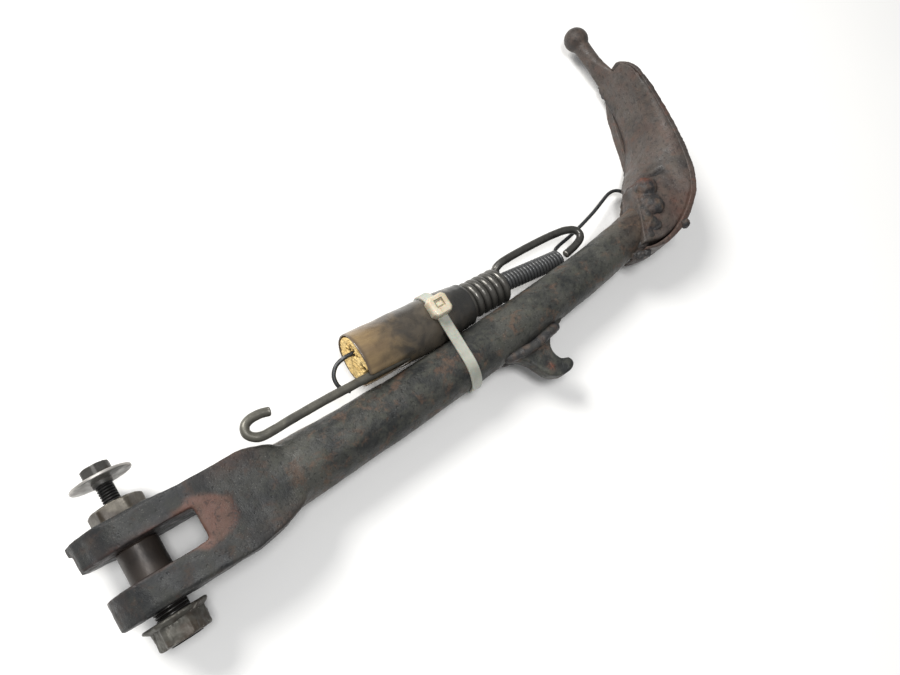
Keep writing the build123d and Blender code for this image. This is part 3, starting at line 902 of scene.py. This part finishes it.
def build_screw(material, washer_material):
    """The shouldered screw and the loose washer under its head."""
    seat = WASHER_Y + 1.35
    head = hex_head(9.6, 30.0, seat, seat + 4.4, 0.25)
    shoulder = lathe_y([(0.4, seat + 0.3), (3.48, seat + 0.2), (3.48, seat - 2.8), (3.1, seat - 3.05),
                        (0.4, seat - 3.05)], 56)
    thread = screw_thread(5.98, 1.0, seat - 17.0, seat - 2.6, 0.56)
    screw = new_object("switch_screw", join([head, shoulder, thread]))
    roughen(screw, (0.10, 2.0), (0.05, 0.9), where=lambda p: p[:, 1] > seat + 0.3)
    paint_masks(screw, soot=read_points(screw)[:, 1] < seat)
    place(screw, material, "screw_black", "screw", "switch_screw", crease=32)

    r0, r1, y0, y1 = 3.6, 10.68, WASHER_Y, WASHER_Y + 1.3
    profile = [(r0, y0 + 0.2), (r0 + 0.2, y0)]
    profile += [(r, y0 + 0.02) for r in np.linspace(r0 + 1, r1 - 0.9, 7)]
    profile += [(r1 - 0.3, y0 + 0.05), (r1, y0 + 0.35), (r1, y1 - 0.35), (r1 - 0.3, y1 - 0.05)]
    profile += [(r, y1) for r in np.linspace(r1 - 0.9, r0 + 1, 7)]
    profile += [(r0 + 0.2, y1), (r0, y1 - 0.2)]
    washer = new_object("switch_washer", lathe_y(profile, 110, closed=True))
    roughen(washer, (0.10, 6.0), (0.05, 1.6), where=lambda p: ease(from_axis(p), 6.0, 8.0))
    points = read_points(washer)
    points[:, 1] = np.clip(points[:, 1], y0 - 0.02, y1 + 0.04)
    write_points(washer, points)
    place(washer, washer_material, "washer_zinc", "washer", "switch_washer", crease=35)


# ---- springs
SPRING_MOUTH = np.array((95.0, 24.35, 5.0))
TILT = math.radians(6.0)
AXIS_U = np.array((math.cos(TILT), 0.0, -math.sin(TILT)))
AXIS_V = np.array((0.0, 1.0, 0.0))
AXIS_W = np.array((math.sin(TILT), 0.0, math.cos(TILT)))
OUTER_WIRE = 1.75  # radii of the two wires
INNER_WIRE = 0.85
OUTER_FOOT_HOOK = [
    (170.2, 31.0, -1.6), (173.6, 32.1, -1.0), (180, 32.5, -0.9), (188, 32.6, -1.0),
    (196, 32.5, -1.1), (203, 32.2, -1.2), (209.3, 31.4, -1.2), (213.4, 29.7, -1.2),
    (214.8, 27.2, -1.2), (213.8, 25.1, -1.3), (210.8, 23.6, -1.5), (206.8, 22.6, -1.7),
    (203.0, 21.9, -1.9)
]
INNER_FOOT_HOOK = [
    (201.0, 23.4, -4.8), (200.8, 25.2, -4.5), (202.6, 26.6, -5.1), (206, 27.6, -5.8),
    (213, 28.9, -6.4), (222, 31.0, -7.0), (232, 33.8, -7.9), (239.5, 36.4, -8.7),
    (245.5, 38.4, -9.6), (249.6, 38.8, -10.3), (252.8, 37.9, -10.9), (255.6, 35.8, -11.6)
]
INNER_EYE = [
    (117.6, 27.0, 3.7), (106, 27.0, 4.9), (97.5, 27.0, 5.7), (92.8, 27.1, 5.7), (88.6, 26.0, 5.2),
    (86.0, 23.2, 4.4), (85.6, 19.8, 3.6), (86.8, 17.0, 2.8), (89.0, 15.2, 2.3)
]
OUTER_J = [
    (117.6, 15.95), (104, 15.95), (90, 15.95), (76, 15.95), (64, 15.6), (56.5, 15.2), (51.6, 15.2),
    (48.7, 16.6), (47.5, 18.9), (48.5, 21.3), (51.2, 22.5), (55.0, 22.5), (58.4, 21.7)
]
HOOK_AT = (90.0, 8.55)  # a place along x and the height of the J there
HOOK_FALL = math.radians(8.0)


def on_spring(along, across, rise):
    """A place given along and across the springs' own axis, measured from the sleeve's mouth."""
    return SPRING_MOUTH + along * AXIS_U + across * AXIS_V + rise * AXIS_W


def helix(start, turns, pitch, radius, per_turn=26, lean_from=math.inf, lean=0.0):
    """Centre line of a coil; past lean_from turns its axis leans towards the leg."""
    line = []
    for k in range(int(turns * per_turn) + 1):
        turn = k / per_turn
        angle = -math.tau * (turns - turn)
        side = 0.0
        if turn > lean_from:
            side = -(turn - lean_from) * pitch * math.tan(lean)
        line.append(on_spring(start + turn * pitch, radius * math.cos(angle) + side,
                              radius * math.sin(angle)))
    return np.array(line)


def build_outer_spring(material):
    coil = helix(28.8, 13.0, 3.52, 6.2)[:-9]
    line = np.vstack([coil, smooth_line(OUTER_FOOT_HOOK, 7)])
    spring = new_object("outer_spring_coil", tube(line, OUTER_WIRE, 20))
    roughen(spring, (0.05, 2.5), (0.03, 0.9))
    place(spring, material, "spring_steel", "leg", "outer_spring_coil")


def build_outer_hook(material):
    """The J lies in a plane that falls away from the fork, along the axis it is pulled on."""
    slope = math.tan(HOOK_FALL)
    line = smooth_line([(x, y, HOOK_AT[1] - (x - HOOK_AT[0]) * slope) for x, y in OUTER_J], 8)
    hook = new_object("outer_spring_hook", tube(line, OUTER_WIRE, 24))
    roughen(hook, (0.06, 3.0), (0.03, 1.0))
    place(hook, material, "spring_steel", "outer_hook", "outer_spring_hook")


def build_inner_spring(material):
    coil = helix(28.0, 46.0, 1.73, 3.4, 20, 29, math.radians(3.6))[:-6]
    line = np.vstack([coil, smooth_line(INNER_FOOT_HOOK, 7)])
    spring = new_object("inner_spring_coil", tube(line, INNER_WIRE, 12))
    place(spring, material, "spring_steel", "leg", "inner_spring_coil", crease=60)

    eye = new_object("inner_spring_hook", tube(smooth_line(INNER_EYE, 8), INNER_WIRE, 16))
    place(eye, material, "spring_steel", "inner_hook", "inner_spring_hook")


# ---- sleeve and foam
SLEEVE_LENGTH = 54.0
SLEEVE_WALL = 1.1
SLIT_ANGLE = math.radians(167.0)
SLIT_LENGTH = 19.5
SLIT_WIDTH = math.radians(23.0)
SPRING_ROOM = 8.02  # the sleeve's wall never comes nearer to the springs' axis
FOAM_RADIUS = 9.75
# across, rise and size of the torn pits, in the plug's front
PITS = [
    (2.0, 2.6, 0.9), (3.4, 1.4, 1.1), (0.9, 3.8, 0.7), (4.6, 2.6, 0.8), (3.0, 4.0, 0.75),
    (5.2, 0.4, 0.7), (1.4, 1.0, 0.7), (4.6, 4.6, 0.6), (6.2, 2.2, 0.6), (2.6, 5.4, 0.6),
    (-0.2, 5.2, 0.5), (-4.6, 4.1, 1.1), (-5.5, 5.0, 0.9), (-3.6, 5.0, 0.7), (-5.0, 3.0, 0.7),
    (-6.0, 3.6, 0.6)
]


def from_slit(angle):
    """Signed angle from the middle of the slit."""
    return (angle - SLIT_ANGLE + math.pi) % math.tau - math.pi


def sleeve_radius(along, angle):
    """Outside of the sleeve: tapered, sagging, pressed to the leg, drawn in round the coils."""
    base = np.interp(along, [0, 3, 12, 24, 34, 38, 42, 50, SLEEVE_LENGTH],
                     [10.7, 10.75, 10.55, 10.4, 10.1, 9.75, 9.75, 9.0, 8.75])
    lip = 0.6 * math.exp(-((from_slit(angle) + 0.42) / 0.16) ** 2) * (1 - float(ease(along, 10, 26)))
    toward_leg = angle % math.tau - math.pi
    press = 0.5 * math.exp(-(toward_leg / 0.45) ** 2) * float(ease(along, 22, 28))
    ripple = 0.07 * math.sin(math.tau * along / 3.5) * float(ease(along, 40, 48))
    sag = 0.22 * math.sin(2 * angle + 0.05 * along) + 0.14 * math.sin(3 * angle + 1.3 + 0.11 * along)
    return base + lip + press + ripple + sag * (1 - float(ease(along, 44, 54)))


def build_sleeve(material):
    angles = round_angles(120)
    rows = 56
    outside, inside = [], []
    for k in range(rows):
        t = k / (rows - 1)
        out_ring, in_ring = [], []
        for a in angles:
            notch = SLIT_LENGTH * max(0.0, 1 - (abs(from_slit(a)) / SLIT_WIDTH) ** 3)
            start = notch + 0.25 * math.sin(3 * a + 0.5) + 0.3
            along = start + (SLEEVE_LENGTH - start) * t
            radius = sleeve_radius(along, a)
            wall = SLEEVE_WALL * (0.5 + 0.5 * min(1.0, (along - start) / 4))
            out_ring.append(on_spring(along, radius * math.cos(a), radius * math.sin(a)))
            bore = max(radius - wall, SPRING_ROOM)
            lip_back = 0.12 if k == 0 else 0.0
            in_ring.append(on_spring(along + lip_back, bore * math.cos(a), bore * math.sin(a)))
        outside.append(out_ring)
        inside.append(in_ring)
    sleeve = new_object("spring_sleeve", rings(outside + inside[::-1], closed=True))
    modify(sleeve, "SUBSURF", levels=1)
    bake_modifiers(sleeve)
    roughen(sleeve, (0.16, 7.0), (0.05, 2.2))
    along = (read_points(sleeve) - SPRING_MOUTH) @ AXIS_U
    paint_masks(sleeve, along=along / SLEEVE_LENGTH, rim=1 - ease(along, 0.7, 2.2))
    place(sleeve, material, "sleeve_plastic", "leg", "spring_sleeve")


def pit_depth(across, rise):
    depth = 0.0
    for pit_across, pit_rise, size in PITS:
        near = ((across - pit_across) ** 2 + (rise - pit_rise) ** 2) / size ** 2
        depth = max(depth, 3.4 * math.exp(-near ** 2))
    return depth


def build_foam(material):
    """The plug: its front torn and pitted, its side grooved where the outer hook passes."""
    angles = [math.tau * k / 150 for k in range(150)]
    grooves = [1 - 0.34 * math.exp(-(from_slit(a) / math.radians(27)) ** 4) for a in angles]

    def ring(r):
        return [(r * groove * math.cos(a), r * groove * math.sin(a))
                for a, groove in zip(angles, grooves)]
    loops = []
    radial = 40
    for step in range(radial):
        r = FOAM_RADIUS * (step + 0.5) / radial
        dome = 0.35 + 0.25 * (r / FOAM_RADIUS) ** 4
        loops.append([on_spring(dome + pit_depth(v, w), v, w) for v, w in ring(r)])
    for along, r in ((2.6, 9.55), (8.0, 9.3), (14.0, 9.2), (20.6, 9.0), (21.0, 7.0), (21.0, 3.0)):
        loops.append([on_spring(along, v, w) for v, w in ring(r)])
    foam = new_object("foam_plug", rings(loops))
    local = read_points(foam) - SPRING_MOUTH
    pit = np.array([pit_depth(v, w) for v, w in zip(local @ AXIS_V, local @ AXIS_W)])
    # The pit mask paints shade into the torn pits.
    paint_masks(foam, pit=ease(pit, 0.45, 1.3) * (local @ AXIS_U < 6))
    roughen(foam, (0.35, 1.6), (0.2, 0.7), where=lambda p: ((p - SPRING_MOUTH) @ AXIS_U < 5) * 1.0)
    place(foam, material, "foam", "leg", "foam_plug")


# ---- cable tie
TIE_X = 133.0
TIE_HALF = 2.3
TIE_THICK = 1.2
HEAD_AT = np.array((TIE_X, 25.9, 14.25))
HEAD_HALF = np.array((4.3, 4.15, 2.75))
LEG_ROUND = (np.array((3.25, 0.0)), 10.72)  # the leg and the sleeve where the strap passes them
SLEEVE_ROUND = (np.array((24.35, 1.0)), 10.02)


def tie_path():
    """Points of the loop round the leg and the sleeve, in the plane across the leg."""
    (leg_c, leg_r), (sleeve_c, sleeve_r) = LEG_ROUND, SLEEVE_ROUND
    gap = sleeve_c - leg_c
    base = math.atan2(gap[1], gap[0])
    lean = math.acos((leg_r - sleeve_r) / np.linalg.norm(gap))
    count = 150
    points = []
    for centre, radius, first, sweep in ((sleeve_c, sleeve_r, base - lean, 2 * lean),
                                         (leg_c, leg_r, base + lean, math.tau - 2 * lean)):
        for k in range(count):
            a = first + sweep * k / (count - 1)
            points.append(centre + radius * np.array((math.cos(a), math.sin(a))))
    return resample(np.array(points), 260)


def prism(layers):
    """A shape from (z, outline) layers, measured from the middle of the tie's head."""
    return rings([[HEAD_AT + np.array((x, y, z)) for x, y in outline] for z, outline in layers])


def tie_head():
    """The head: a box with broken corners, a window in its top and the pawl in the window."""
    lx, ly, lz = HEAD_HALF
    cut = 0.30
    corners = [(-1, -1 + cut), (-1, 1 - cut), (-1 + cut, 1), (1 - cut, 1), (1, 1 - cut),
               (1, -1 + cut), (0.72, -1), (-0.72, -1)]
    layers = []
    for z, k in ((-lz, 0.86), (-lz + 0.35, 0.97), (-lz + 0.8, 1.0), (lz - 1.3, 1.0),
                 (lz - 0.5, 0.93), (lz, 0.80)):
        layers.append((z, [(x * lx * k, y * ly * (k if y > 0 else 0.5 + 0.5 * k))
                           for x, y in corners]))
    head = new_object("tie_head_raw", prism(layers))
    modify(head, "BEVEL", width=0.35 * MM, segments=3)
    bake_modifiers(head)
    opening = [(-1.9, -1.3), (-1.9, 2.2), (1.9, 2.2), (1.9, -1.3)]
    window = new_object("tie_window_raw", prism([(1.2, opening), (4.0, opening)]))
    modify(head, "BOOLEAN", operation="DIFFERENCE", solver="EXACT", object=window)
    bake_modifiers(head)
    shape = shape_of(head)
    for temporary in (head, window):
        bpy.data.objects.remove(temporary)
    pawl = prism([(z, [(-1.3, y0), (-1.3, y1), (1.3, y1), (1.3, y0)]) for z, y0, y1 in
                  ((1.0, -1.0, 1.7), (1.9, -0.7, 1.2), (2.15, -0.5, 0.4))])
    return join([shape, pawl])


def build_tie(material):
    half, thick = TIE_HALF, TIE_THICK
    section = [(-half + 0.3, 0), (-half, 0.25), (-half, thick - 0.25), (-half + 0.35, thick),
               (-half + 0.9, thick - 0.06), (half - 0.9, thick - 0.06), (half - 0.35, thick),
               (half, thick - 0.25), (half, 0.25), (half - 0.3, 0)]
    path = tie_path()
    loops = [[(TIE_X + x, at[0] + out[0] * depth, at[1] + out[1] * depth) for x, depth in section]
             for at, out in zip(path[:-1], outward(path)[:-1])]
    tie = new_object("cable_tie", join([rings(loops, closed=True), tie_head()]))
    points = read_points(tie)
    on_head = ((np.abs(points - HEAD_AT) / (HEAD_HALF + 0.1)).max(1) < 1.0) * 1.0
    middle = np.abs(points[:, 0] - HEAD_AT[0]) < 2.4
    paint_masks(tie, strap=1 - on_head,
                stain=on_head * ease(points[:, 2], HEAD_AT[2], HEAD_AT[2] + 1.5) * middle)
    place(tie, material, "tie_nylon", "leg", "cable_tie", crease=38)


# ---- scene
FLOOR_HALF = 2600.0
SKY = (0.98, 0.99, 1.0, 1)
SKY_STRENGTH = 0.30
MIDDLE = (0.13, 0.03, 0.0)  # where the key light is aimed
# base, dirt, bright edge, then the other looks
METALS = {
    "spring_steel": dict(
        base=(0.10, 0.098, 0.09), dirt=(0.035, 0.033, 0.03), bright=(0.32, 0.30, 0.27),
        metallic=0.7, rough=(0.24, 0.42), scale=500, bump=0.25),
    "dark_spring": dict(
        base=(0.035, 0.038, 0.041), dirt=(0.02, 0.021, 0.022), bright=(0.12, 0.12, 0.12),
        metallic=0.3, rough=(0.25, 0.42), scale=500, bump=0.25),
    # Lighter than the spring steel of the same wire: a painted highlight on the J-hook's shank.
    "highlit_hook_steel": dict(
        base=(0.125, 0.12, 0.10), dirt=(0.06, 0.058, 0.05), bright=(0.24, 0.23, 0.20),
        metallic=0.4, rough=(0.32, 0.52), scale=420, dirt_at=0.52),
    "zinc_steel": dict(
        base=(0.105, 0.094, 0.076), dirt=(0.036, 0.028, 0.02), bright=(0.44, 0.40, 0.32),
        metallic=0.5, rough=(0.28, 0.5), scale=260, bump=0.3),
    "bush_steel": dict(
        base=(0.05, 0.040, 0.034), dirt=(0.026, 0.020, 0.017), bright=(0.13, 0.10, 0.08),
        metallic=0.3, rough=(0.38, 0.56), scale=220, stretch=(1.0, 0.35, 1.0), bump=0.3,
        dirt_at=0.48),
    "nut_steel": dict(
        base=(0.10, 0.096, 0.082), dirt=(0.045, 0.035, 0.026), bright=(0.28, 0.265, 0.225),
        metallic=0.4, rough=(0.42, 0.7), scale=240, bump=0.7),
    "lock_ring": dict(
        base=(0.3, 0.3, 0.28), dirt=(0.12, 0.11, 0.1), bright=(0.5, 0.5, 0.48)),
    "screw_black": dict(
        base=(0.08, 0.078, 0.073), dirt=(0.033, 0.029, 0.025), bright=(0.30, 0.29, 0.265),
        metallic=0.5, rough=(0.35, 0.55), scale=420, bump=0.4),
    "washer_zinc": dict(
        base=(0.33, 0.32, 0.30), dirt=(0.12, 0.095, 0.075), bright=(0.62, 0.60, 0.57),
        metallic=0.7, rough=(0.3, 0.48), scale=260, bump=0.3, dirt_at=0.53),
}


def build_stage():
    corners = [(x * FLOOR_HALF, y * FLOOR_HALF, FLOOR_Z)
               for x, y in ((-1, -1), (1, -1), (1, 1), (-1, 1))]
    floor = new_object("floor", (corners, [(0, 1, 2, 3)]))
    floor.data.materials.append(floor_material())
    world = bpy.data.worlds.new("studio")
    bpy.context.scene.world = world
    world.use_nodes = True
    sky = world.node_tree.nodes["Background"].inputs
    sky["Color"].default_value = SKY
    sky["Strength"].default_value = SKY_STRENGTH
    area_light("key", (-0.15, 0.62, 0.62), MIDDLE, 0.42, 9.0, (1.0, 0.985, 0.955))
    area_light("top", (0.02, -0.01, 0.8), (0.02, 0.0, 0.0), 0.26, 3.4)
    bpy.context.scene.view_settings.view_transform = "Standard"


make_camera()
build_stage()
leg_paint = worn_paint("black_paint", (0.022, 0.0235, 0.0235), (0.064, 0.064, 0.057))
foot_paint = worn_paint("foot_paint", (0.038, 0.036, 0.034), (0.078, 0.071, 0.066),
                        bloom=(0.068, 0.061, 0.050), rust=(0.080, 0.054, 0.044), rust_level=0.53,
                        shine=0.34)
weld_paint = worn_paint("weld_steel", (0.026, 0.028, 0.031), (0.055, 0.054, 0.054), rust_level=0.56)
metal = {name: dirty_metal(name, **look) for name, look in METALS.items()}
build_leg(leg_paint)
build_horn(leg_paint, weld_paint)
build_foot(foot_paint, weld_paint)
build_bolt(metal["zinc_steel"])
build_bush(metal["bush_steel"])
build_nut(metal["nut_steel"], metal["lock_ring"])
build_screw(metal["screw_black"], metal["washer_zinc"])
build_outer_spring(metal["spring_steel"])
build_outer_hook(metal["highlit_hook_steel"])
build_inner_spring(metal["dark_spring"])
build_sleeve(sleeve_material())
build_foam(foam_material())
build_tie(nylon_material())
